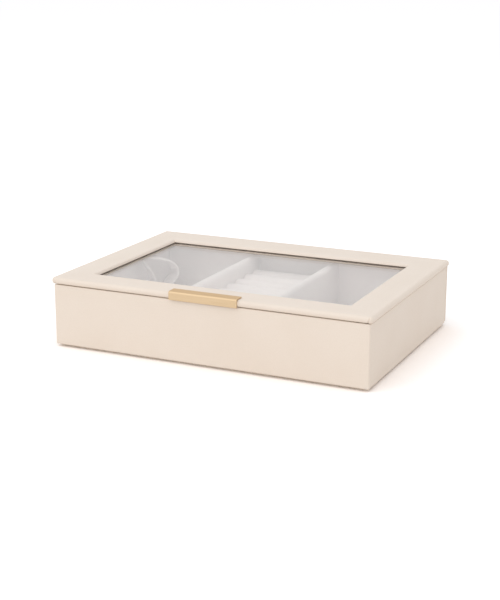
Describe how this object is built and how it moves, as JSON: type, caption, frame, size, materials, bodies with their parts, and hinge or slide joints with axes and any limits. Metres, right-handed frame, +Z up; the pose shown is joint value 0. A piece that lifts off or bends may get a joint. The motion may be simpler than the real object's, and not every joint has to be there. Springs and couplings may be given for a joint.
{
  "type": "ring display box",
  "caption": "Low wrapped display box with a hinged glazed lid, velvet compartments, a ring cushion and a bangle cuff.",
  "frame": {"origin": "on the surface the box stands on, under the middle of the closed box's outline", "axes": "+Z up, +X to the right along the box's width, +Y from the front with the pull tab to the hinge"},
  "size_m": [0.254, 0.1812, 0.0547],
  "materials": {
    "leathercloth": "smooth, satin",
    "fibreboard": "raw board",
    "velvet": "short pile",
    "glass": "clear, polished",
    "dark_strip": "matt",
    "brass": "brushed",
    "steel": "plain"
  },
  "bodies": {
    "base": {"underside_pad": "leathercloth", "base_board": "fibreboard", "front_wall": "fibreboard", "back_wall": "fibreboard", "left_wall": "fibreboard", "right_wall": "fibreboard", "body_wrap": "leathercloth", "back_board": "leathercloth", "front_lining": "velvet", "back_lining": "velvet", "left_lining": "velvet", "right_lining": "velvet", "left_floor_pad": "velvet", "middle_floor_pad": "velvet", "right_floor_pad": "velvet", "left_divider": "velvet", "right_divider": "velvet", "ring_tray": "velvet", "ring_roll_1": "velvet", "ring_roll_2": "velvet", "ring_roll_3": "velvet", "ring_roll_4": "velvet", "ring_roll_5": "velvet", "ring_roll_6": "velvet", "ring_roll_7": "velvet", "ring_roll_8": "velvet", "ring_roll_9": "velvet", "bangle_cuff": "velvet", "hinge_cover": "leathercloth"},
    "lid": {"hinge_flap": "leathercloth", "lid_frame": "leathercloth", "lid_wrap": "leathercloth", "lid_lining": "velvet", "glass_pane": "glass", "glass_seal": "dark_strip", "pull_tab": "brass", "tab_screws": "steel"}
  },
  "joints": [
    {"name": "lid_hinge", "type": "hinge", "parent": "base", "child": "lid", "pos_m": [0, 0.0906, 0.0485], "axis": [-1, 0, 0], "range_deg": [0, 105]}
  ]
}
